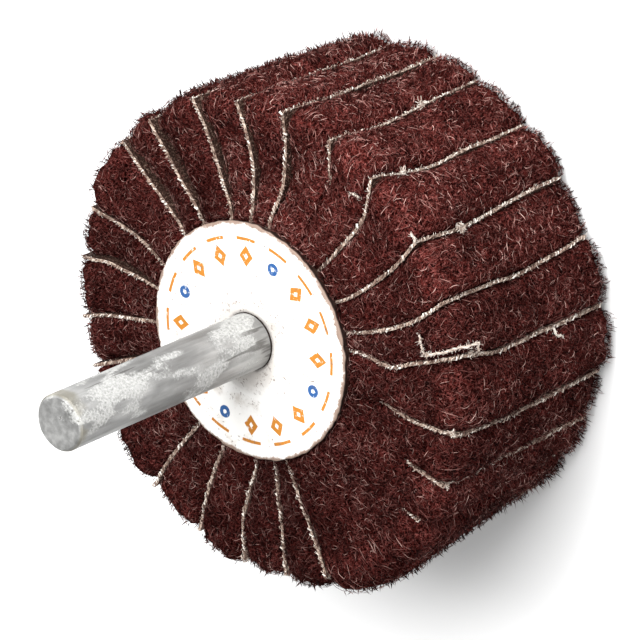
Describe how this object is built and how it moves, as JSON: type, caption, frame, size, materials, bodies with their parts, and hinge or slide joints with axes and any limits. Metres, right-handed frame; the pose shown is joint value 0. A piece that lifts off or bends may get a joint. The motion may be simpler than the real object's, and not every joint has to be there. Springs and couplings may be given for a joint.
{
  "type": "non-woven flap wheel",
  "caption": "Shank-mounted flap wheel: leaves of fibrous abrasive web interleaved with cloth-backed flaps, seated in a slotted resin core with a card label.",
  "frame": {"origin": "centre of the core's flat rear end face, on the wheel's axis, where the wheel stands", "axes": "+Z along the shank towards its free end; +X through the middle of the first cloth flap's slot in the core; +Y completes a right-handed frame"},
  "size_m": [0.0531, 0.0529, 0.0556],
  "materials": {
    "steel": "dull galvanised, mottled and scratched",
    "resin": "cast brown resin, matte",
    "card": "white card, soiled round its rim and round the shank",
    "cloth": "woven cloth coated with grit on one side, frayed edges",
    "web": "open non-woven web of crimped maroon fibres"
  },
  "bodies": {
    "root": {"shank": "steel", "resin_core": "resin", "label_disc": "card", "cloth_flap_01": "cloth", "cloth_flap_02": "cloth", "cloth_flap_03": "cloth", "cloth_flap_04": "cloth", "cloth_flap_05": "cloth", "cloth_flap_06": "cloth", "cloth_flap_07": "cloth", "cloth_flap_08": "cloth", "cloth_flap_09": "cloth", "cloth_flap_10": "cloth", "cloth_flap_11": "cloth", "cloth_flap_12": "cloth", "cloth_flap_13": "cloth", "cloth_flap_14": "cloth", "cloth_flap_15": "cloth", "cloth_flap_16": "cloth", "cloth_flap_17": "cloth", "cloth_flap_18": "cloth", "cloth_flap_19": "cloth", "cloth_flap_20": "cloth", "cloth_flap_21": "cloth", "cloth_flap_22": "cloth", "cloth_flap_23": "cloth", "cloth_flap_24": "cloth", "nonwoven_flap_01": "web", "nonwoven_flap_02": "web", "nonwoven_flap_03": "web", "nonwoven_flap_04": "web", "nonwoven_flap_05": "web", "nonwoven_flap_06": "web", "nonwoven_flap_07": "web", "nonwoven_flap_08": "web", "nonwoven_flap_09": "web", "nonwoven_flap_10": "web", "nonwoven_flap_11": "web", "nonwoven_flap_12": "web", "nonwoven_flap_13": "web", "nonwoven_flap_14": "web", "nonwoven_flap_15": "web", "nonwoven_flap_16": "web", "nonwoven_flap_17": "web", "nonwoven_flap_18": "web", "nonwoven_flap_19": "web", "nonwoven_flap_20": "web", "nonwoven_flap_21": "web", "nonwoven_flap_22": "web", "nonwoven_flap_23": "web", "nonwoven_flap_24": "web"}
  },
  "joints": []
}
